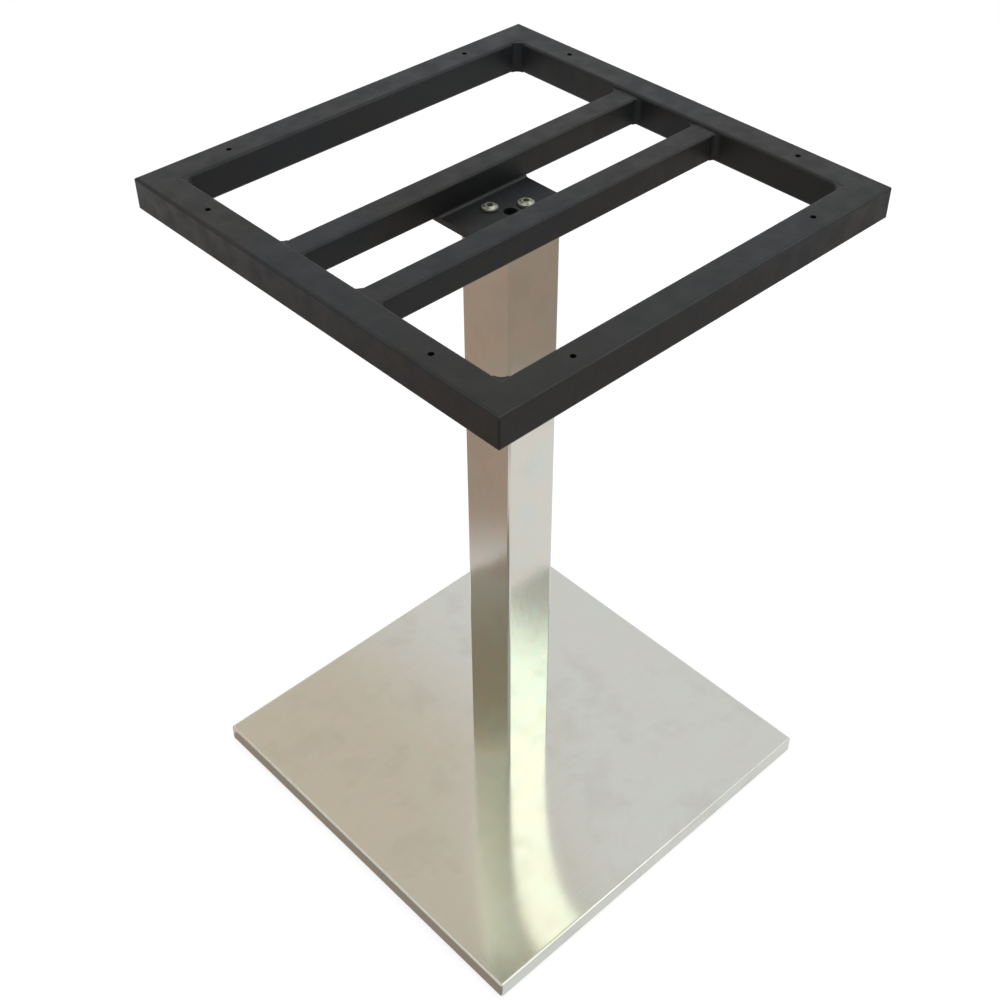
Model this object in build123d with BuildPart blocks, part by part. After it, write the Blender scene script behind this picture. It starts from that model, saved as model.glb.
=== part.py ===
from build123d import *
from math import atan2, cos, degrees, radians, sqrt
import os

# Pedestal base for a square dining table: a tube frame, a column and a weighted foot.
# Sizes are in millimetres. The origin is on the floor under the middle of the column.
# X and Y run along the sides, and the front is towards -Y.

os.makedirs("parts", exist_ok=True)

# Overall sizes
overall_height = 720.0
frame_side = 440.0
base_side = 450.0

# Top frame, of square tube
rail_size = 30.0
rail_wall = 2.0
rail_corner = 3.0
frame_corner = 1.5          # the mitred corners are welded and ground round
bar_size = 25.0
bar_wall = 2.0
bar_corner = 2.5
plate_side = 100.0
plate_lap = 16.5            # how far the mounting plate reaches under each cross bar
plate_thickness = 5.0
plate_corner = 3.0
screw_hole = 5.0            # for the screws that go up into the table top
screw_offset = 135.0        # from the middle of a rail to each of its screw holes

# Weld beads of the frame, by the length of their legs
corner_bead = 7.0
bar_bead = 5.5
plate_bead = 3.0
edge_bead = 3.0
bead_fullness = 0.64        # how far the face stands out from the corner, where 1 is flat
bead_sink = 1.8             # how deep an upright bead fills the rounded edges of the tubes
bead_dip = 0.4              # from the top and bottom of a tube to the ends of its upright beads

# Column
column_side = 60.0
column_wall = 1.5
column_corner = 3.0
end_plate_gap = 0.15        # all round, before the end plates are welded in
end_plate_bevel = 1.2       # the groove that the weld fills
top_plate_thickness = 6.0
foot_plate_thickness = 8.0
centre_hole = 12.0

# M8 bolts and their washers
bolt_size = 8.0
bolt_clearance = 1.0
thread_play = 0.1
bolt_tip = 0.8
washer_width = 16.0
washer_hole = 8.4
washer_thickness = 1.2
washer_edge = 0.3
low_head_width = 14.0
low_head_height = 2.4
low_head_flat = 8.0
low_head_rim = 0.7
low_head_dome = 0.35
socket_width = 5.0
socket_depth = 4.0
hexagon_width = 13.0
hexagon_height = 5.3
hexagon_turn = 0.7          # how far down the corners of a head are turned away
bolt_edge = 10.5            # from the wall of the column to the middle of a bolt
frame_bolt_count = 3
frame_bolt_reach = 3.4      # how far a bolt comes out of the plate that it is screwed into
base_bolt_reach = 1.2

# Foot of the base
rim_gap = 1.5               # from the floor to the rim of the cover
cover_height = 18.0
cover_sheet = 1.2
cover_fold = 2.5
corner_grind = 0.5          # the upright corners are ground a little rounder than the fold
weight_inset = 10.0         # from the outside of the cover to the edge of the weight
weight_thickness = 8.0
weight_corner = 6.0

# Levelling feet, each a screw that turns in a plastic pad
foot_inset = 40.0
foot_screw = 10.0
foot_screw_play = 0.05
foot_screw_gap = 0.5        # left under the cover when the foot is screwed right in
foot_stop_gap = 0.1
foot_tip = 1.0
collar_width = 14.0
neck_width = 8.0
neck_play = 0.1
neck_gap = 0.2
flange_width = 13.0
flange_play = 0.2
flange_gap = 0.2
pad_width = 30.0
pad_height = 6.0
pad_round = 1.8
pad_bevel = 0.8
pad_floor = 1.8
pad_lip = 2.0

# Levels above the floor
rail_middle = overall_height - rail_size / 2
plate_top = rail_middle - bar_size / 2
column_top = plate_top - plate_thickness
cover_top = rim_gap + cover_height
cover_underside = cover_top - cover_sheet
weight_bottom = cover_underside - weight_thickness

# Distances in plan
rail_line = (frame_side - rail_size) / 2
window_half = frame_side / 2 - rail_size
bar_face = plate_side / 2 - plate_lap
bar_line = bar_face + bar_size / 2
bore_side = column_side - 2 * column_wall
frame_bolt_circle = bore_side - 2 * bolt_edge
base_bolt_spacing = bore_side - 2 * bolt_edge
foot_spacing = base_side - 2 * foot_inset
corners = {"front_left": (-1, -1), "front_right": (1, -1), "back_right": (1, 1), "back_left": (-1, 1)}


def save(piece, name):
    piece.label = name
    export_step(piece, f"parts/{name}.step")


def square_tube(start, size, wall, corner, length):
    with BuildPart() as tube:
        with BuildSketch(start):
            RectangleRounded(size, size, corner)
            RectangleRounded(size - 2 * wall, size - 2 * wall, corner - wall, mode=Mode.SUBTRACT)
        extrude(amount=length)
    return tube.part


# Frame rails: tube mitred at both ends, and drilled right through for the screws
rail_start = Plane((-frame_side / 2, -rail_line, rail_middle), x_dir=(0, 1, 0), z_dir=(1, 0, 0))
with BuildPart() as frame_rail:
    add(square_tube(rail_start, rail_size, rail_wall, rail_corner, frame_side))
    for side in (1, -1):
        split(bisect_by=Plane((0, 0, 0), x_dir=(0, 0, 1), z_dir=(-side, -1, 0)), keep=Keep.TOP)
    with BuildSketch(Plane.XY.offset(overall_height - rail_size)):
        RectangleRounded(frame_side, frame_side, frame_corner)
    extrude(amount=rail_size, mode=Mode.INTERSECT)
    with Locations((screw_offset, -rail_line, overall_height), (-screw_offset, -rail_line, overall_height)):
        Hole(screw_hole / 2, depth=rail_size)

frame_tubes = []
for side_name, turn in {"front": 0, "right": 90, "back": 180, "left": 270}.items():
    with BuildPart() as placed_rail:
        with Locations(Rotation(0, 0, turn)):
            add(frame_rail.part)
    save(placed_rail.part, f"frame_rail_{side_name}")
    frame_tubes.append(placed_rail.part)

# Cross bars: smaller tube at half the height of the rails, butted against the two side rails
for side_name, side in {"front": -1, "back": 1}.items():
    bar_start = Plane((-window_half, side * bar_line, rail_middle), x_dir=(0, 1, 0), z_dir=(1, 0, 0))
    cross_bar = square_tube(bar_start, bar_size, bar_wall, bar_corner, 2 * window_half)
    save(cross_bar, f"cross_bar_{side_name}")
    frame_tubes.append(cross_bar)

# Mounting plate across the undersides of the bars, with a hole at the middle and three for bolts
with BuildPart() as mounting_plate:
    with BuildSketch(Plane.XY.offset(column_top)):
        RectangleRounded(plate_side, plate_side, plate_corner)
        Circle(centre_hole / 2, mode=Mode.SUBTRACT)
        with PolarLocations(frame_bolt_circle / 2, frame_bolt_count):
            Circle((bolt_size + bolt_clearance) / 2, mode=Mode.SUBTRACT)
    extrude(amount=plate_thickness)
save(mounting_plate.part, "mounting_plate")


# The section of a weld bead in a square corner at its origin, with X pointing into the corner
def bead_section(legs):
    reach = legs / sqrt(2)
    with BuildSketch() as section:
        with BuildLine():
            Polyline((-reach, reach), (0, 0), (-reach, -reach))
            ThreePointArc((-reach, -reach), (-reach * bead_fullness, 0), (-reach, reach))
        make_face()
    return section.sketch


# Upright beads, each filling the corner at its place and the rounded edges of the tubes beside it
def upright_beads(places, legs, bottom, height):
    with BuildSketch() as section:
        with Locations((bead_sink * sqrt(2), 0)):
            Rectangle(legs + bead_sink, legs + bead_sink, rotation=-45, align=(Align.MAX, Align.MAX))
        Rectangle(legs, legs, rotation=-45, align=(Align.MAX, Align.MAX), mode=Mode.SUBTRACT)
        add(bead_section(legs))
    with BuildPart() as beads:
        with BuildSketch(Plane.XY.offset(bottom + bead_dip)):
            with Locations(*places):
                add(section.sketch)
        extrude(amount=height - 2 * bead_dip)
        for tube in frame_tubes:
            add(tube, mode=Mode.SUBTRACT)
    return beads.part


# Weld beads: in the corners of the frame, beside the ends of the bars, and along the plate
mitre_places = [Location((x * window_half, y * window_half, 0), (0, 0, degrees(atan2(y, x))))
                for x, y in corners.values()]
bar_end_places = [Location((x * window_half, y * bar_line + side * bar_size / 2, 0),
                           (0, 0, degrees(atan2(-side, x))))
                  for x, y in corners.values() for side in (1, -1)]
with BuildPart() as frame_welds:
    add(upright_beads(mitre_places, corner_bead, overall_height - rail_size, rail_size))
    add(upright_beads(bar_end_places, bar_bead, plate_top, bar_size))
    with BuildSketch(Plane((-plate_side / 2, 0, plate_top), x_dir=(0, 1, 0), z_dir=(1, 0, 0))):
        with BuildLine():
            bead_middle = plate_bead / 2 * bead_fullness
            ThreePointArc((bar_face - plate_bead, 0), (bar_face - bead_middle, bead_middle), (bar_face, plate_bead))
            Line((bar_face, plate_bead), (bar_face, bar_corner))
            CenterArc((bar_face + bar_corner, bar_corner), bar_corner, 180, 90)
            Line((bar_face + bar_corner, 0), (bar_face - plate_bead, 0))
        make_face()
        with Locations(Location((plate_side / 2, 0, 0), (0, 0, 135))):
            add(bead_section(edge_bead))
        mirror(about=Plane.YZ)
    extrude(amount=plate_side)
save(frame_welds.part, "frame_welds")

# Column: tube with rounded corners, standing on the cover
save(square_tube(Plane.XY.offset(cover_top), column_side, column_wall, column_corner, column_top - cover_top),
     "column_tube")

# The planes of the column's two ends, with Z pointing into the column
column_head = Plane((0, 0, column_top), x_dir=(1, 0, 0), z_dir=(0, 0, -1))
column_foot = Plane.XY.offset(cover_top)
bore_corner = column_corner - column_wall


# A plate that fits in an end of the column, flush with it and bevelled all round for the weld
def end_plate(end, thickness):
    blank_side = bore_side - 2 * end_plate_gap
    with BuildPart() as blank:
        with BuildSketch(end):
            RectangleRounded(blank_side, blank_side, bore_corner - end_plate_gap)
        extrude(amount=thickness)
        outer_face = blank.faces().sort_by(Axis(end.origin, end.z_dir))[0]
        chamfer(outer_face.edges(), end_plate_bevel)
    return blank.part


with BuildPart() as column_top_plate:
    add(end_plate(column_head, top_plate_thickness))
    with Locations(Plane.XY.offset(column_top)):
        Hole(centre_hole / 2, depth=top_plate_thickness)
        with PolarLocations(frame_bolt_circle / 2, frame_bolt_count):
            Hole((bolt_size + thread_play) / 2, depth=top_plate_thickness)
save(column_top_plate.part, "column_top_plate")

with BuildPart() as column_foot_plate:
    add(end_plate(column_foot, foot_plate_thickness))
    with Locations(Plane.XY.offset(cover_top + foot_plate_thickness)):
        with GridLocations(base_bolt_spacing, base_bolt_spacing, 2, 2):
            Hole((bolt_size + thread_play) / 2, depth=foot_plate_thickness)
save(column_foot_plate.part, "column_foot_plate")

with BuildPart() as column_welds:
    for end, thickness in ((column_head, top_plate_thickness), (column_foot, foot_plate_thickness)):
        with BuildSketch(end):
            RectangleRounded(bore_side, bore_side, bore_corner)
        extrude(amount=end_plate_bevel)
        add(end_plate(end, thickness), mode=Mode.SUBTRACT)
save(column_welds.part, "column_welds")


# A bolt's plain shank from the origin upwards, with a bevelled tip
def shank(length):
    with BuildPart() as stem:
        Cylinder(bolt_size / 2, length, align=(Align.CENTER, Align.CENTER, Align.MIN))
        chamfer(stem.edges().group_by(Axis.Z)[-1], bolt_tip)
    return stem.part


# A washer lying on the origin
with BuildPart() as washer:
    Cylinder(washer_width / 2, washer_thickness, align=(Align.CENTER, Align.CENTER, Align.MIN))
    chamfer(washer.edges().filter_by(GeomType.CIRCLE), washer_edge)
    with Locations((0, 0, washer_thickness)):
        Hole(washer_hole / 2, depth=washer_thickness)

# Bolts with low wide heads and washers, down through the mounting plate into the top of the column
frame_bolt_length = washer_thickness + plate_thickness + top_plate_thickness + frame_bolt_reach
with BuildPart() as low_head_bolt:
    with BuildSketch(Plane.XZ):
        with BuildLine():
            Polyline((low_head_flat / 2, low_head_height), (0, low_head_height), (0, 0),
                     (low_head_width / 2, 0), (low_head_width / 2, low_head_rim))
            SagittaArc((low_head_width / 2, low_head_rim), (low_head_flat / 2, low_head_height),
                       low_head_dome)
        make_face()
    revolve(axis=Axis.Z)
    with Locations(Rotation(180, 0, 0)):
        add(shank(frame_bolt_length))
    with BuildSketch(Plane.XY.offset(low_head_height)):
        RegularPolygon(socket_width / 2, 6, major_radius=False)
    extrude(amount=-socket_depth, mode=Mode.SUBTRACT)

with BuildPart() as frame_bolt_washers:
    with Locations(Plane.XY.offset(plate_top)):
        with PolarLocations(frame_bolt_circle / 2, frame_bolt_count):
            add(washer.part)
save(frame_bolt_washers.part, "frame_bolt_washers")

with BuildPart() as frame_bolts:
    with Locations(Plane.XY.offset(plate_top + washer_thickness)):
        with PolarLocations(frame_bolt_circle / 2, frame_bolt_count):
            add(low_head_bolt.part)
save(frame_bolts.part, "frame_bolts")


# A hexagon from the origin downwards, with the corners of its lower end turned away
def hexagon_head(width, height, turn):
    with BuildPart() as head:
        with BuildSketch():
            RegularPolygon(width / 2, 6, major_radius=False)
        extrude(amount=-height)
        across_corners = width / cos(radians(30))
        with BuildSketch(Plane.XZ):
            with BuildLine():
                Polyline((0, 0), (across_corners / 2, 0), (across_corners / 2, turn - height),
                         (width / 2, -height), (0, -height), close=True)
            make_face()
        revolve(axis=Axis.Z, mode=Mode.INTERSECT)
    return head.part


# Hexagon bolts with washers, up through the weight and the cover into the foot of the column
base_bolt_length = washer_thickness + weight_thickness + cover_sheet + foot_plate_thickness + base_bolt_reach
with BuildPart() as hexagon_bolt:
    add(hexagon_head(hexagon_width, hexagon_height, hexagon_turn))
    add(shank(base_bolt_length))

with BuildPart() as base_bolt_washers:
    with Locations(Plane.XY.offset(weight_bottom - washer_thickness)):
        with GridLocations(base_bolt_spacing, base_bolt_spacing, 2, 2):
            add(washer.part)
save(base_bolt_washers.part, "base_bolt_washers")

with BuildPart() as base_bolts:
    with Locations(Plane.XY.offset(weight_bottom - washer_thickness)):
        with GridLocations(base_bolt_spacing, base_bolt_spacing, 2, 2):
            add(hexagon_bolt.part)
save(base_bolts.part, "base_bolts")


# A block with rounded upright corners and a rounded top edge, standing on the rim's level
def cover_block(side, corner, fold, height):
    with BuildPart() as block:
        with BuildSketch(Plane.XY.offset(rim_gap)):
            RectangleRounded(side, side, corner)
        extrude(amount=height)
        fillet(block.edges().group_by(Axis.Z)[-1], fold)
    return block.part


# Cover: one sheet folded down on four sides, open underneath
cover_corner = cover_fold + corner_grind
with BuildPart() as base_cover:
    add(cover_block(base_side, cover_corner, cover_fold, cover_height))
    add(cover_block(base_side - 2 * cover_sheet, cover_corner - cover_sheet, cover_fold - cover_sheet,
                    cover_height - cover_sheet), mode=Mode.SUBTRACT)
    with Locations(Plane.XY.offset(cover_top)):
        with GridLocations(base_bolt_spacing, base_bolt_spacing, 2, 2):
            Hole((bolt_size + bolt_clearance) / 2, depth=cover_sheet)
save(base_cover.part, "base_cover")

# Weight: a thick plate against the underside of the cover, tapped for the levelling feet
with BuildPart() as base_weight:
    with BuildSketch(Plane.XY.offset(weight_bottom)):
        RectangleRounded(base_side - 2 * weight_inset, base_side - 2 * weight_inset, weight_corner)
        with GridLocations(base_bolt_spacing, base_bolt_spacing, 2, 2):
            Circle((bolt_size + bolt_clearance) / 2, mode=Mode.SUBTRACT)
        with GridLocations(foot_spacing, foot_spacing, 2, 2):
            Circle(foot_screw / 2 + foot_screw_play, mode=Mode.SUBTRACT)
    extrude(amount=weight_thickness)
save(base_weight.part, "base_weight")

# Levelling pad: a disc with a pocket that the screw's flange snaps into
pocket_height = pad_height - pad_floor - pad_lip
with BuildPart() as pad:
    Cylinder(pad_width / 2, pad_height, align=(Align.CENTER, Align.CENTER, Align.MIN))
    fillet(pad.edges().group_by(Axis.Z)[-1], pad_round)
    chamfer(pad.edges().group_by(Axis.Z)[0], pad_bevel)
    with Locations((0, 0, pad_height)):
        Hole(neck_width / 2 + neck_play, depth=pad_height - pad_floor)
    with BuildSketch(Plane.XY.offset(pad_floor)):
        Circle(flange_width / 2 + flange_play)
    extrude(amount=pocket_height, mode=Mode.SUBTRACT)

# Levelling screw: flange and neck in the pad, a hexagon to turn it by, and a threaded stem
collar_bottom = pad_height + neck_gap
collar_top = weight_bottom - foot_stop_gap
with BuildPart() as levelling_screw:
    with BuildSketch(Plane.XY.offset(pad_floor)):
        Circle(flange_width / 2)
    extrude(amount=pocket_height - flange_gap)
    with BuildSketch(Plane.XY.offset(pad_floor)):
        Circle(neck_width / 2)
    extrude(amount=collar_bottom - pad_floor)
    with Locations((0, 0, collar_top)):
        add(hexagon_head(collar_width, collar_top - collar_bottom, hexagon_turn))
    with BuildSketch(Plane.XY.offset(collar_top)):
        Circle(foot_screw / 2)
    extrude(amount=cover_underside - foot_screw_gap - collar_top)
    chamfer(levelling_screw.edges().group_by(Axis.Z)[-1], foot_tip)

for corner_name, (x, y) in corners.items():
    foot_place = Location((x * foot_spacing / 2, y * foot_spacing / 2, 0))
    with BuildPart() as placed_pad:
        with Locations(foot_place):
            add(pad.part)
    save(placed_pad.part, f"levelling_pad_{corner_name}")
    with BuildPart() as placed_screw:
        with Locations(foot_place):
            add(levelling_screw.part)
    save(placed_screw.part, f"levelling_screw_{corner_name}")
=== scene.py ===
import math

import bmesh
import bpy
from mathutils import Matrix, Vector


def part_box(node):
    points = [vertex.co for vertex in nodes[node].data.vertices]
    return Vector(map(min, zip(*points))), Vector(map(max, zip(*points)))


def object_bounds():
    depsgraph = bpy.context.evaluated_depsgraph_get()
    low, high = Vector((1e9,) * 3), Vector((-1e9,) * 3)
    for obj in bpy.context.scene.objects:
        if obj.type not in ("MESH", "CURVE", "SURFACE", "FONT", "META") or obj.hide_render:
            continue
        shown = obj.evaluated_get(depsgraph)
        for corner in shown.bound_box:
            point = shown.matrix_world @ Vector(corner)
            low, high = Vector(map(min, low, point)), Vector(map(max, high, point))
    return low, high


# Pedestal base for a dining table: black tube frame, brushed steel column and foot
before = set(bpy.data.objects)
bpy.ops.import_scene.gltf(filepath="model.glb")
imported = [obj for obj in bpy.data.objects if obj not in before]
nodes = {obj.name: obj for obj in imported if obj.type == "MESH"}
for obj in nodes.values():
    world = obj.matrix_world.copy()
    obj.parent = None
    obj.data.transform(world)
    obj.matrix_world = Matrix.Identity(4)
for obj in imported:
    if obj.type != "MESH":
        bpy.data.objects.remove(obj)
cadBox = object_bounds()
print("frame:", len(nodes), "nodes loaded")


# An sRGB hex colour as the linear one that shaders work in
def linearColour(hexColour):
    channels = [int(hexColour[i:i + 2], 16) / 255 for i in (1, 3, 5)]
    return [c / 12.92 if c <= 0.04045 else ((c + 0.055) / 1.055) ** 2.4 for c in channels] + [1]


# Adds a node: settings are its own options, and each input is a fixed value or the socket that feeds it
def addNode(tree, kind, settings={}, inputs={}):
    node = tree.nodes.new("ShaderNode" + kind)
    for name, value in settings.items():
        setattr(node, name, value)
    for socket, value in inputs.items():
        if isinstance(value, bpy.types.NodeSocket):
            tree.links.new(value, node.inputs[socket])
        else:
            node.inputs[socket].default_value = value
    return node


def newMaterial(name):
    material = bpy.data.materials.new(name)
    material.use_nodes = True
    material.node_tree.nodes.clear()
    return material, material.node_tree


# Patches that fade from 0 to 1: their size in metres, the two levels of noise that they fade between, and
# how many finer noises lie over the first
def softPatches(tree, place, size, low, high, detail):
    noise = addNode(tree, "TexNoise", inputs={"Vector": place, "Scale": 1 / size, "Detail": detail})
    return addNode(tree, "MapRange", {"interpolation_type": "SMOOTHSTEP"},
                   {"Value": noise.outputs["Fac"], "From Min": low, "From Max": high}).outputs["Result"]


# How far out from the column's axis a place is, measured square: the same all along a square's sides
def squareDistance(tree, axes):
    sideways = []
    for side in (0, 1):
        sideways.append(addNode(tree, "Math", {"operation": "ABSOLUTE"}, {0: axes[side]}).outputs[0])
    return addNode(tree, "Math", {"operation": "MAXIMUM"}, {0: sideways[0], 1: sideways[1]}).outputs[0]


# Powder coat on steel tube, sprayed and baked: a flat black with a fine pebbled skin and a dull sheen
coat = {
    "warmBlack": "#181818",
    "coolBlack": "#171a1e",
    "clouds": (0.16, 0.38, 0.62, 3),    # patches of warmer and cooler black
    "rubbedAndHighlit": "#2c2d2f",                # lighter along the upper outer edges: painted highlight where light catches the rounded edge, and the coat thinned there
    "wear": (0.05, 0.30, 0.70, 3),      # patches along that edge where the painted highlight and the thinned coat show
    "edge": (0.0016, 0.00048),          # how far in the lighter edge starts, and where it is full
    "dull": (0.02, 0.3, 0.7, 3),        # patches of rougher skin
    "roughness": (0.42, 0.56),
    "pebble": 0.0030,                   # orange peel
    "grain": 0.0009,                    # powder grains are a tenth of this, which would not show
    "relief": (0.5, 0.00012),           # strength and depth
    "shine": 0.27,
}


def makePowderCoat():
    material, tree = newMaterial("black_powder_coat_baked")
    place = addNode(tree, "TexCoord").outputs["Object"]
    clouds = softPatches(tree, place, *coat["clouds"])
    # a Mix node takes its two colours at 6 and 7, and gives the mixed one at 2
    black = addNode(tree, "Mix", {"data_type": "RGBA"},
                    {0: clouds, 6: linearColour(coat["warmBlack"]),
                     7: linearColour(coat["coolBlack"])}).outputs[2]

    # lighter line along the top outer edges of the frame: a painted highlight where light catches the rounded
    # edge, and the coat rubbed thin there, in patches
    axes = addNode(tree, "SeparateXYZ", inputs={"Vector": place}).outputs
    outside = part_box("frame_rail_front")[1].x
    top = cadBox[1].z
    near = []
    for distance, limit in ((squareDistance(tree, axes), outside), (axes[2], top)):
        near.append(addNode(tree, "MapRange", {"interpolation_type": "SMOOTHSTEP"},
                            {"Value": distance, "From Min": limit - coat["edge"][0],
                             "From Max": limit - coat["edge"][1]}).outputs["Result"])
    edge = addNode(tree, "Math", {"operation": "MULTIPLY"}, {0: near[0], 1: near[1]}).outputs[0]
    wear = softPatches(tree, place, *coat["wear"])
    rubbedAndHighlit = addNode(tree, "Math", {"operation": "MULTIPLY"}, {0: edge, 1: wear}).outputs[0]
    # painted highlight: the black is lightened along the top outer edges
    colour = addNode(tree, "Mix", {"data_type": "RGBA"},
                     {0: rubbedAndHighlit, 6: black, 7: linearColour(coat["rubbedAndHighlit"])}).outputs[2]

    smooth, rough = coat["roughness"]
    dull = softPatches(tree, place, *coat["dull"])
    roughness = addNode(tree, "MapRange", inputs={"Value": dull, "To Min": smooth, "To Max": rough})
    pebble = addNode(tree, "TexNoise", inputs={"Vector": place, "Scale": 1 / coat["pebble"], "Detail": 2})
    grain = addNode(tree, "TexNoise", inputs={"Vector": place, "Scale": 1 / coat["grain"], "Detail": 1})
    skin = addNode(tree, "Math", {"operation": "ADD"}, {0: pebble.outputs["Fac"], 1: grain.outputs["Fac"]})
    strength, depth = coat["relief"]
    bump = addNode(tree, "Bump", inputs={"Strength": strength, "Distance": depth, "Height": skin.outputs[0]})
    shader = addNode(tree, "BsdfPrincipled",
                     inputs={"Base Color": colour, "Roughness": roughness.outputs["Result"],
                             "Specular IOR Level": coat["shine"], "Normal": bump.outputs["Normal"]})
    addNode(tree, "OutputMaterial", inputs={"Surface": shader.outputs[0]})
    return material


# Stainless steel sheet and tube, brushed with a belt: long fine scratches one way, so that what it mirrors is
# drawn out across them, with faint clouds where the belt pressed harder
steel = {
    "footTints": ("#c8c7c1", "#c6c8c2"),
    "columnTints": ("#c9c4bb", "#c3c6bf"),
    "clouds": (0.035, 0.34, 0.66, 4),   # patches of the second tint
    "stain": "#b8b5ad",
    "stained": 0.35,                    # how much of it shows
    "smudges": (0.040, 0.48, 0.74, 2),  # patches of it
    "scratchWidth": 0.0007,             # grit leaves scratches of 0.1 mm, too fine to show
    "scratchLength": 0.035,
    "scratchLevels": (0.25, 0.75),      # of noise, from the darkest scratch to the lightest
    "scratchShade": (0.97, 1.02),
    "scratchRelief": (0.4, 0.000012),   # strength and depth
    "worn": (0.2, 0.9),                 # from smooth to rough, of scratches and smudges together
    "roughness": (0.09, 0.145),
    "fold": (0.004, 0.002),             # how far in the foot's folded edge starts, and where it is full
    "foldRoughness": 0.20,              # more where the sheet is folded down and dressed by hand
    "drawn": 0.45,                      # how strongly the scratches draw out what the steel mirrors
    "drawnTurn": 0.25,                  # a quarter turn, which is across them
    "twist": 0.085,                     # how fast the foot's thin sheet winds up towards its front corner
    "fan": 2.05,                        # and how much faster it does so towards the front side
    "lift": 0.081,                      # how much it rises towards that corner
    "liftFrom": 0.045,                  # where that begins, in front of the middle
}


# Height of the foot's slow winding in front of the column: with ahead as -(x + y) and apart as x - y,
# ahead^2 * (twist * apart + fan * apart^2), the fan only where apart is positive, and lift * risen^2
# where risen is how much further ahead than liftFrom
def sheetWinding(tree, axes):
    both = addNode(tree, "Math", {"operation": "ADD"}, {0: axes[0], 1: axes[1]}).outputs[0]
    forward = addNode(tree, "Math", {"operation": "MINIMUM"}, {0: both, 1: 0}).outputs[0]
    ahead = addNode(tree, "Math", {"operation": "MULTIPLY"}, {0: forward, 1: -1}).outputs[0]
    rising = addNode(tree, "Math", {"operation": "MULTIPLY"}, {0: ahead, 1: ahead}).outputs[0]
    apart = addNode(tree, "Math", {"operation": "SUBTRACT"}, {0: axes[0], 1: axes[1]}).outputs[0]
    rightward = addNode(tree, "Math", {"operation": "MAXIMUM"}, {0: apart, 1: 0}).outputs[0]
    squared = addNode(tree, "Math", {"operation": "MULTIPLY"}, {0: rightward, 1: rightward}).outputs[0]
    leaning = addNode(tree, "Math", {"operation": "MULTIPLY"}, {0: apart, 1: steel["twist"]}).outputs[0]
    fanned = addNode(tree, "Math", {"operation": "MULTIPLY_ADD"},
                     {0: squared, 1: steel["fan"], 2: leaning}).outputs[0]
    further = addNode(tree, "Math", {"operation": "SUBTRACT"}, {0: ahead, 1: steel["liftFrom"]}).outputs[0]
    risen = addNode(tree, "Math", {"operation": "MAXIMUM"}, {0: further, 1: 0}).outputs[0]
    steep = addNode(tree, "Math", {"operation": "MULTIPLY"}, {0: risen, 1: steel["lift"]}).outputs[0]
    lifted = addNode(tree, "Math", {"operation": "MULTIPLY"}, {0: steep, 1: risen}).outputs[0]
    return addNode(tree, "Math", {"operation": "MULTIPLY_ADD"},
                   {0: rising, 1: fanned, 2: lifted}).outputs[0]


# along is the axis that the belt ran on, grainWay the scratches' direction and wound how much of the
# winding the piece has
def makeBrushedSteel(name, along, grainWay, tints, wound=0):
    material, tree = newMaterial(name)
    place = addNode(tree, "TexCoord").outputs["Object"]
    stretch = [1 / (steel["scratchLength"] if i == along else steel["scratchWidth"]) for i in range(3)]
    drawn = addNode(tree, "Mapping", inputs={"Vector": place, "Scale": stretch}).outputs["Vector"]
    scratches = addNode(tree, "TexNoise",
                        inputs={"Vector": drawn, "Scale": 1, "Detail": 3, "Roughness": 0.6}).outputs["Fac"]
    clouds = softPatches(tree, place, *steel["clouds"])
    smudges = softPatches(tree, place, *steel["smudges"])
    base = addNode(tree, "Mix", {"data_type": "RGBA"},
                   {0: clouds, 6: linearColour(tints[0]), 7: linearColour(tints[1])}).outputs[2]
    faint = addNode(tree, "Math", {"operation": "MULTIPLY"}, {0: smudges, 1: steel["stained"]}).outputs[0]
    stained = addNode(tree, "Mix", {"data_type": "RGBA"},
                      {0: faint, 6: base, 7: linearColour(steel["stain"])}).outputs[2]
    low, high = steel["scratchLevels"]
    dark, light = steel["scratchShade"]
    shade = addNode(tree, "MapRange", inputs={"Value": scratches, "From Min": low, "From Max": high,
                                              "To Min": dark, "To Max": light}).outputs["Result"]
    colour = addNode(tree, "VectorMath", {"operation": "SCALE"}, {0: stained, "Scale": shade}).outputs[0]

    low, high = steel["worn"]
    smooth, rough = steel["roughness"]
    worn = addNode(tree, "Math", {"operation": "ADD"}, {0: scratches, 1: faint}).outputs[0]
    even = addNode(tree, "MapRange", inputs={"Value": worn, "From Min": low, "From Max": high,
                                             "To Min": smooth, "To Max": rough}).outputs["Result"]
    axes = addNode(tree, "SeparateXYZ", inputs={"Vector": place}).outputs
    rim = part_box("base_cover")[1].x
    folded = addNode(tree, "MapRange",
                     inputs={"Value": squareDistance(tree, axes), "From Min": rim - steel["fold"][0],
                             "From Max": rim - steel["fold"][1],
                             "To Max": steel["foldRoughness"]}).outputs["Result"]
    roughness = addNode(tree, "Math", {"operation": "ADD"}, {0: even, 1: folded}).outputs[0]

    strength, depth = steel["scratchRelief"]
    winding = sheetWinding(tree, axes)
    bowed = addNode(tree, "Bump", inputs={"Strength": 1, "Distance": wound, "Height": winding})
    bump = addNode(tree, "Bump", inputs={"Strength": strength, "Distance": depth, "Height": scratches,
                                         "Normal": bowed.outputs["Normal"]})
    tangent = addNode(tree, "CombineXYZ", inputs=dict(enumerate(grainWay))).outputs[0]
    shader = addNode(tree, "BsdfPrincipled",
                     inputs={"Base Color": colour, "Metallic": 1, "Roughness": roughness,
                             "Anisotropic": steel["drawn"], "Anisotropic Rotation": steel["drawnTurn"],
                             "Normal": bump.outputs["Normal"], "Tangent": tangent})
    addNode(tree, "OutputMaterial", inputs={"Surface": shader.outputs[0]})
    return material


# Steel washers blackened in a hot oxide bath: a dull deep grey
blackOxide = {
    "dark": "#1c1d1c",
    "worn": "#2e2f2d",
    "wear": (0.003, 0.45, 0.70, 3),
    "roughness": 0.55,
    "grain": 0.00045,           # the etched steel's own is finer, which would not show
    "relief": (0.3, 0.00001),
}


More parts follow.
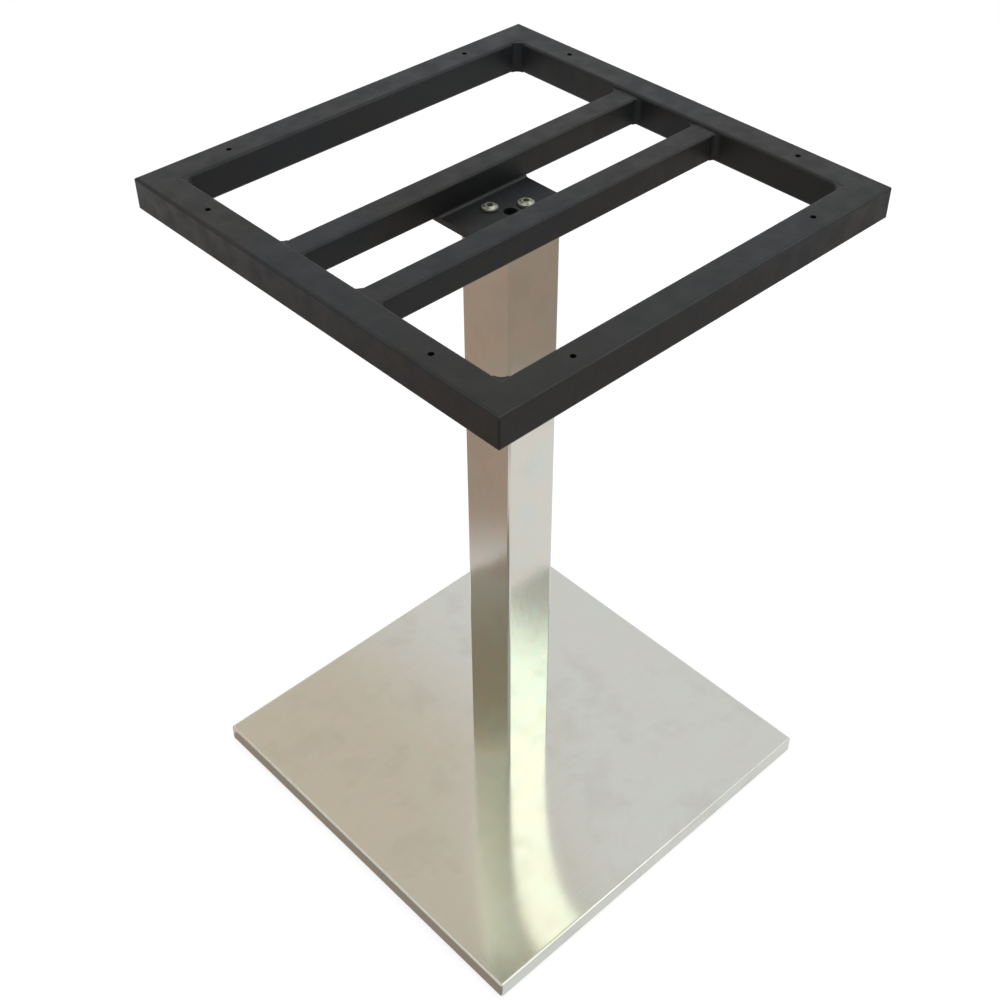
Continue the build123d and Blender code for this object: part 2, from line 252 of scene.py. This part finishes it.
def makeBlackOxide():
    material, tree = newMaterial("black_oxide_steel")
    place = addNode(tree, "TexCoord").outputs["Object"]
    wear = softPatches(tree, place, *blackOxide["wear"])
    colour = addNode(tree, "Mix", {"data_type": "RGBA"},
                     {0: wear, 6: linearColour(blackOxide["dark"]), 7: linearColour(blackOxide["worn"])})
    grain = addNode(tree, "TexNoise", inputs={"Vector": place, "Scale": 1 / blackOxide["grain"], "Detail": 1})
    strength, depth = blackOxide["relief"]
    bump = addNode(tree, "Bump",
                   inputs={"Strength": strength, "Distance": depth, "Height": grain.outputs["Fac"]})
    shader = addNode(tree, "BsdfPrincipled",
                     inputs={"Base Color": colour.outputs[2], "Roughness": blackOxide["roughness"],
                             "Normal": bump.outputs["Normal"]})
    addNode(tree, "OutputMaterial", inputs={"Surface": shader.outputs[0]})
    return material


# Zinc-plated steel, plated in a barrel: pale grey, with a soft bloom where it has dulled
zinc = {
    "bright": "#a3a59c",
    "dull": "#77776c",
    "bloom": (0.004, 0.40, 0.65, 4),
    "roughness": (0.46, 0.62),
    "grain": 0.00045,           # zinc crystals are finer, which would not show
    "relief": (0.3, 0.00001),
}


def makeZincPlate():
    material, tree = newMaterial("zinc_plated_steel")
    place = addNode(tree, "TexCoord").outputs["Object"]
    bloom = softPatches(tree, place, *zinc["bloom"])
    colour = addNode(tree, "Mix", {"data_type": "RGBA"},
                     {0: bloom, 6: linearColour(zinc["bright"]), 7: linearColour(zinc["dull"])})
    smooth, rough = zinc["roughness"]
    roughness = addNode(tree, "MapRange", inputs={"Value": bloom, "To Min": smooth, "To Max": rough})
    grain = addNode(tree, "TexNoise", inputs={"Vector": place, "Scale": 1 / zinc["grain"], "Detail": 1})
    strength, depth = zinc["relief"]
    bump = addNode(tree, "Bump",
                   inputs={"Strength": strength, "Distance": depth, "Height": grain.outputs["Fac"]})
    shader = addNode(tree, "BsdfPrincipled",
                     inputs={"Base Color": colour.outputs[2], "Metallic": 1,
                             "Roughness": roughness.outputs["Result"], "Normal": bump.outputs["Normal"]})
    addNode(tree, "OutputMaterial", inputs={"Surface": shader.outputs[0]})
    return material


# Hot-rolled steel as it comes from the mill: grey scale with darker patches
millSteel = {
    "grey": "#77767a",
    "scale": "#4c4b4e",
    "patches": (0.012, 0.35, 0.65, 5),
    "roughness": 0.5,
    "pit": 0.0011,
    "relief": (0.5, 0.00006),
}


def makeMillSteel():
    material, tree = newMaterial("hot_rolled_steel")
    place = addNode(tree, "TexCoord").outputs["Object"]
    patches = softPatches(tree, place, *millSteel["patches"])
    colour = addNode(tree, "Mix", {"data_type": "RGBA"},
                     {0: patches, 6: linearColour(millSteel["grey"]), 7: linearColour(millSteel["scale"])})
    pits = addNode(tree, "TexNoise", inputs={"Vector": place, "Scale": 1 / millSteel["pit"], "Detail": 2})
    strength, depth = millSteel["relief"]
    bump = addNode(tree, "Bump",
                   inputs={"Strength": strength, "Distance": depth, "Height": pits.outputs["Fac"]})
    shader = addNode(tree, "BsdfPrincipled",
                     inputs={"Base Color": colour.outputs[2], "Metallic": 1,
                             "Roughness": millSteel["roughness"], "Normal": bump.outputs["Normal"]})
    addNode(tree, "OutputMaterial", inputs={"Surface": shader.outputs[0]})
    return material


# Steel plate with one coat of grey primer, rolled on: flat, with a slight stipple
primer = {
    "light": "#4d4f50",
    "dark": "#3f4142",
    "patches": (0.03, 0.35, 0.65, 4),
    "roughness": 0.65,
    "stipple": 0.0022,
    "relief": (0.5, 0.0001),
}


def makePrimer():
    material, tree = newMaterial("grey_primer_rolled")
    place = addNode(tree, "TexCoord").outputs["Object"]
    patches = softPatches(tree, place, *primer["patches"])
    colour = addNode(tree, "Mix", {"data_type": "RGBA"},
                     {0: patches, 6: linearColour(primer["light"]), 7: linearColour(primer["dark"])})
    stipple = addNode(tree, "TexNoise", inputs={"Vector": place, "Scale": 1 / primer["stipple"], "Detail": 2})
    strength, depth = primer["relief"]
    bump = addNode(tree, "Bump",
                   inputs={"Strength": strength, "Distance": depth, "Height": stipple.outputs["Fac"]})
    shader = addNode(tree, "BsdfPrincipled",
                     inputs={"Base Color": colour.outputs[2], "Roughness": primer["roughness"],
                             "Normal": bump.outputs["Normal"]})
    addNode(tree, "OutputMaterial", inputs={"Surface": shader.outputs[0]})
    return material


# Nylon, injection moulded in a spark-eroded tool: black, satin and slightly textured
nylon = {
    "black": "#202021",
    "scuffed": "#38383a",
    "scuffs": (0.006, 0.55, 0.75, 4),
    "roughness": 0.45,
    "ior": 1.53,
    "texture": 0.0006,
    "relief": (0.4, 0.00003),
}


def makeNylon():
    material, tree = newMaterial("black_nylon_moulded")
    place = addNode(tree, "TexCoord").outputs["Object"]
    scuffs = softPatches(tree, place, *nylon["scuffs"])
    colour = addNode(tree, "Mix", {"data_type": "RGBA"},
                     {0: scuffs, 6: linearColour(nylon["black"]), 7: linearColour(nylon["scuffed"])})
    texture = addNode(tree, "TexNoise", inputs={"Vector": place, "Scale": 1 / nylon["texture"], "Detail": 1})
    strength, depth = nylon["relief"]
    bump = addNode(tree, "Bump",
                   inputs={"Strength": strength, "Distance": depth, "Height": texture.outputs["Fac"]})
    shader = addNode(tree, "BsdfPrincipled",
                     inputs={"Base Color": colour.outputs[2], "Roughness": nylon["roughness"],
                             "IOR": nylon["ior"], "Normal": bump.outputs["Normal"]})
    addNode(tree, "OutputMaterial", inputs={"Surface": shader.outputs[0]})
    return material


finishes = {
    ("frame_rail", "cross_bar", "mounting_plate", "frame_welds"): makePowderCoat(),
    ("column_tube",): makeBrushedSteel("brushed_stainless_upright_grain", 2, (0, 0, 1), steel["columnTints"]),
    ("base_cover",): makeBrushedSteel("brushed_stainless_level_grain", 0, (1, 0, 0.1), steel["footTints"], 1),
    ("frame_bolts", "base_bolt", "levelling_screw"): makeZincPlate(),
    ("frame_bolt_washers",): makeBlackOxide(),
    ("column_top_plate", "column_foot_plate", "column_welds"): makeMillSteel(),
    ("base_weight",): makePrimer(),
    ("levelling_pad",): makeNylon(),
}
for starts, material in finishes.items():
    for name, node in nodes.items():
        if name.startswith(starts):
            for slot in node.material_slots:
                slot.material = material
            if not node.material_slots:
                node.data.materials.append(material)
print("finishes:", len(finishes), "materials on the frame, column and foot")


# Studio: a pale floor, a white surround, and the same surround in what the metal mirrors
studio = {
    "floorSize": 14,
    "floorDrop": 0.0003,        # just below the feet
    "floorGlow": 0.73,          # the part of the floor's white that no shadow reaches
    "floorShade": 0.40,
    "floorPaper": 0.8,          # what it throws back at surfaces that aren't mirrors
    "surround": 0.54,           # light from all round on those surfaces
    "lampsFace": (0, 0, 0.3),   # low on the column
}


# 1 where the ray comes from the camera, a mirror or a clear surface, and 0 where it only gathers light
def seenOrMirrored(tree):
    rays = addNode(tree, "LightPath").outputs
    both = addNode(tree, "Math", {"operation": "MAXIMUM"},
                   {0: rays["Is Camera Ray"], 1: rays["Is Glossy Ray"]}).outputs[0]
    return addNode(tree, "Math", {"operation": "MAXIMUM"},
                   {0: both, 1: rays["Is Transmission Ray"]}).outputs[0]


world = bpy.data.worlds.new("white_surround")
bpy.context.scene.world = world
world.use_nodes = True
tree = world.node_tree
tree.nodes.clear()
brightness = addNode(tree, "MapRange", inputs={"Value": seenOrMirrored(tree), "To Min": studio["surround"],
                                               "To Max": 1}).outputs["Result"]
surround = addNode(tree, "Background", inputs={"Color": (1, 1, 1, 1), "Strength": brightness}).outputs[0]
addNode(tree, "OutputWorld", inputs={"Surface": surround})

floorMesh = bpy.data.meshes.new("floor")
floorBm = bmesh.new()
bmesh.ops.create_grid(floorBm, x_segments=1, y_segments=1, size=studio["floorSize"] / 2)
bmesh.ops.translate(floorBm, verts=floorBm.verts, vec=(0, 0, -studio["floorDrop"]))
floorBm.to_mesh(floorMesh)
floorBm.free()
floor = bpy.data.objects.new("floor", floorMesh)
bpy.context.scene.collection.objects.link(floor)
floorPaper, tree = newMaterial("white_paper_floor")
glow = addNode(tree, "Emission", inputs={"Color": (1, 1, 1, 1), "Strength": studio["floorGlow"]}).outputs[0]
shade = [studio["floorShade"]] * 3 + [1]
white = [studio["floorPaper"]] * 3 + [1]
shadowed = addNode(tree, "BsdfDiffuse", inputs={"Color": shade}).outputs[0]
paper = addNode(tree, "BsdfDiffuse", inputs={"Color": white}).outputs[0]
seenFloor = addNode(tree, "AddShader", inputs={0: glow, 1: shadowed}).outputs[0]
eitherFloor = addNode(tree, "MixShader", inputs={0: seenOrMirrored(tree), 1: paper, 2: seenFloor}).outputs[0]
addNode(tree, "OutputMaterial", inputs={"Surface": eitherFloor})
floorMesh.materials.append(floorPaper)


# Lamps: where each stands, its size, the brightness of its face, its colour and if the metal mirrors it
lamps = {
    "window": {"at": (0.976, -1.052, 2.06), "size": (0.95, 1.0), "face": 2.3,
               "colour": "#ebfff0", "mirrored": True},
    "ceiling": {"at": (0.2, 0.3, 2.7), "size": (2.4, 2.4), "face": 1.3,
                "colour": "#fbfdff", "mirrored": False},
}
for lampName, lamp in lamps.items():
    light = bpy.data.lights.new(lampName, "AREA")
    light.shape = "RECTANGLE"
    light.size, light.size_y = lamp["size"]
    light.energy = lamp["face"] * math.pi * lamp["size"][0] * lamp["size"][1]
    light.color = linearColour(lamp["colour"])[:3]
    lampObject = bpy.data.objects.new(lampName, light)
    lampObject.location = lamp["at"]
    facing = Vector(studio["lampsFace"]) - Vector(lamp["at"])
    lampObject.rotation_euler = facing.to_track_quat("-Z", "Y").to_euler()
    lampObject.visible_camera = False
    lampObject.visible_glossy = lamp["mirrored"]
    bpy.context.scene.collection.objects.link(lampObject)


# Cards that only the metal mirrors, as they stand round polished things in a studio: soft is the part of a
# card's side over which its edge fades out, and strength is 1 where none is given
cards = {
    "leftFloorCard": {
        "at": (-0.58, 0.58, 0.001), "turn": (0, 0, 45), "size": (1.3, 1.12),
        "colour": "#c0ac9d", "soft": 0.18},
    "leftFrontFloorCard": {
        "at": (-1.05, 0, 0.003), "turn": (0, 0, 90), "size": (1.5, 1.1),
        "colour": "#bea998", "soft": 0.2},
    "frontFloorCard": {
        "at": (-0.74, -0.74, 0.005), "turn": (0, 0, -45), "size": (1.5, 1.1),
        "colour": "#b5a798", "soft": 0.2},
    "rightFrontFloorCard": {
        "at": (-0.06, -1.05, 0.003), "turn": (0, 0, 0), "size": (1.4, 1.1),
        "colour": "#b8a899", "soft": 0.2},
    "rightFloorCard": {
        "at": (0.77, -0.77, 0.001), "turn": (0, 0, 45), "size": (1.3, 0.84),
        "colour": "#b6a698", "soft": 0.10},
    # painted shade: a darker brown sheet on the floor beside the foot's left side, standing in for the brown
    # floor in the foot's shadow that this side mirrors
    "leftEdgeShadeCard": {
        "at": (-0.327, -0.05, 0.0006), "turn": (0, 0, 0), "size": (0.205, 0.56),
        "colour": "#a89c90", "soft": 0.005},
    "leftWallCard": {
        "at": (-1.53, 1.53, 1.86), "turn": (90, 0, 45), "size": (2.7, 1.92),
        "colour": "#c2b499", "soft": 0.03},
    "leftLowWallCard": {
        "at": (-1.51, 1.51, 1.51), "turn": (90, 0, 45), "size": (2.5, 1.3),
        "colour": "#e2ddd7", "soft": 0.23},
    "leftHighCard": {
        "at": (-1.20, 1.20, 2.68), "turn": (0, 0, 45), "size": (0.9, 0.707),
        "colour": "#f4ffee", "strength": 1.65, "soft": 0.05},
    "leftBrightCard": {
        "at": (-1.135, 1.135, 2.66), "turn": (0, 0, 45), "size": (1.3, 0.92),
        "colour": "#f5ffec", "strength": 3.7, "soft": 0.23},
    "windowCard": {
        "at": (0.819, -0.883, 2.222), "turn": (39.2, 0, 42.9), "size": (1.4, 1.25),
        "colour": "#fffef2", "strength": 3.1, "soft": 0.22},
    "highCard": {
        "at": (0.15, 2.10, 2.7), "turn": (0, 0, 0), "size": (3.3, 1.8),
        "colour": "#ede1cf", "soft": 0.20},
}
for cardName, card in cards.items():
    cardMesh = bpy.data.meshes.new(cardName)
    cardBm = bmesh.new()
    bmesh.ops.create_grid(cardBm, x_segments=1, y_segments=1, size=0.5)
    cardBm.to_mesh(cardMesh)
    cardBm.free()
    cardObject = bpy.data.objects.new(cardName, cardMesh)
    cardObject.location = card["at"]
    cardObject.rotation_euler = [math.radians(a) for a in card["turn"]]
    cardObject.scale = (card["size"][0], card["size"][1], 1)
    for rayKind in ("camera", "diffuse", "transmission", "shadow", "volume_scatter"):
        setattr(cardObject, "visible_" + rayKind, False)
    bpy.context.scene.collection.objects.link(cardObject)
    cardBoard, tree = newMaterial(cardName)
    flat = addNode(tree, "TexCoord").outputs["Object"]
    sides = addNode(tree, "SeparateXYZ", inputs={"Vector": flat}).outputs
    fades = []
    for side in (0, 1):
        away = addNode(tree, "Math", {"operation": "ABSOLUTE"}, {0: sides[side]}).outputs[0]
        fades.append(addNode(tree, "MapRange", {"interpolation_type": "SMOOTHSTEP"},
                             {"Value": away, "From Min": 0.5,
                              "From Max": 0.5 - card["soft"]}).outputs["Result"])
    solid = addNode(tree, "Math", {"operation": "MULTIPLY"}, {0: fades[0], 1: fades[1]}).outputs[0]
    clear = addNode(tree, "BsdfTransparent").outputs[0]
    painted = addNode(tree, "Emission", inputs={"Color": linearColour(card["colour"]),
                                                "Strength": card.get("strength", 1)}).outputs[0]
    board = addNode(tree, "MixShader", inputs={0: solid, 1: clear, 2: painted}).outputs[0]
    addNode(tree, "OutputMaterial", inputs={"Surface": board})
    cardMesh.materials.append(cardBoard)
print("studio:", len(lamps), "lamps and", len(cards), "cards")


# Camera at the photograph's angle, from above the front left corner
cameraAt = {
    "location": (-0.7390, -0.7759, 1.3223),
    "degrees": (48.4215, 0.2120, -43.2613),
    "sensor": 36,
    "lens": 52.791,
}
cameraData = bpy.data.cameras.new("camera")
cameraData.sensor_width = cameraAt["sensor"]
cameraData.lens = cameraAt["lens"]
camera = bpy.data.objects.new("camera", cameraData)
camera.location = cameraAt["location"]
camera.rotation_euler = [math.radians(a) for a in cameraAt["degrees"]]
bpy.context.scene.collection.objects.link(camera)
bpy.context.scene.camera = camera
bpy.context.scene.view_settings.view_transform = "Standard"
print("camera: set")
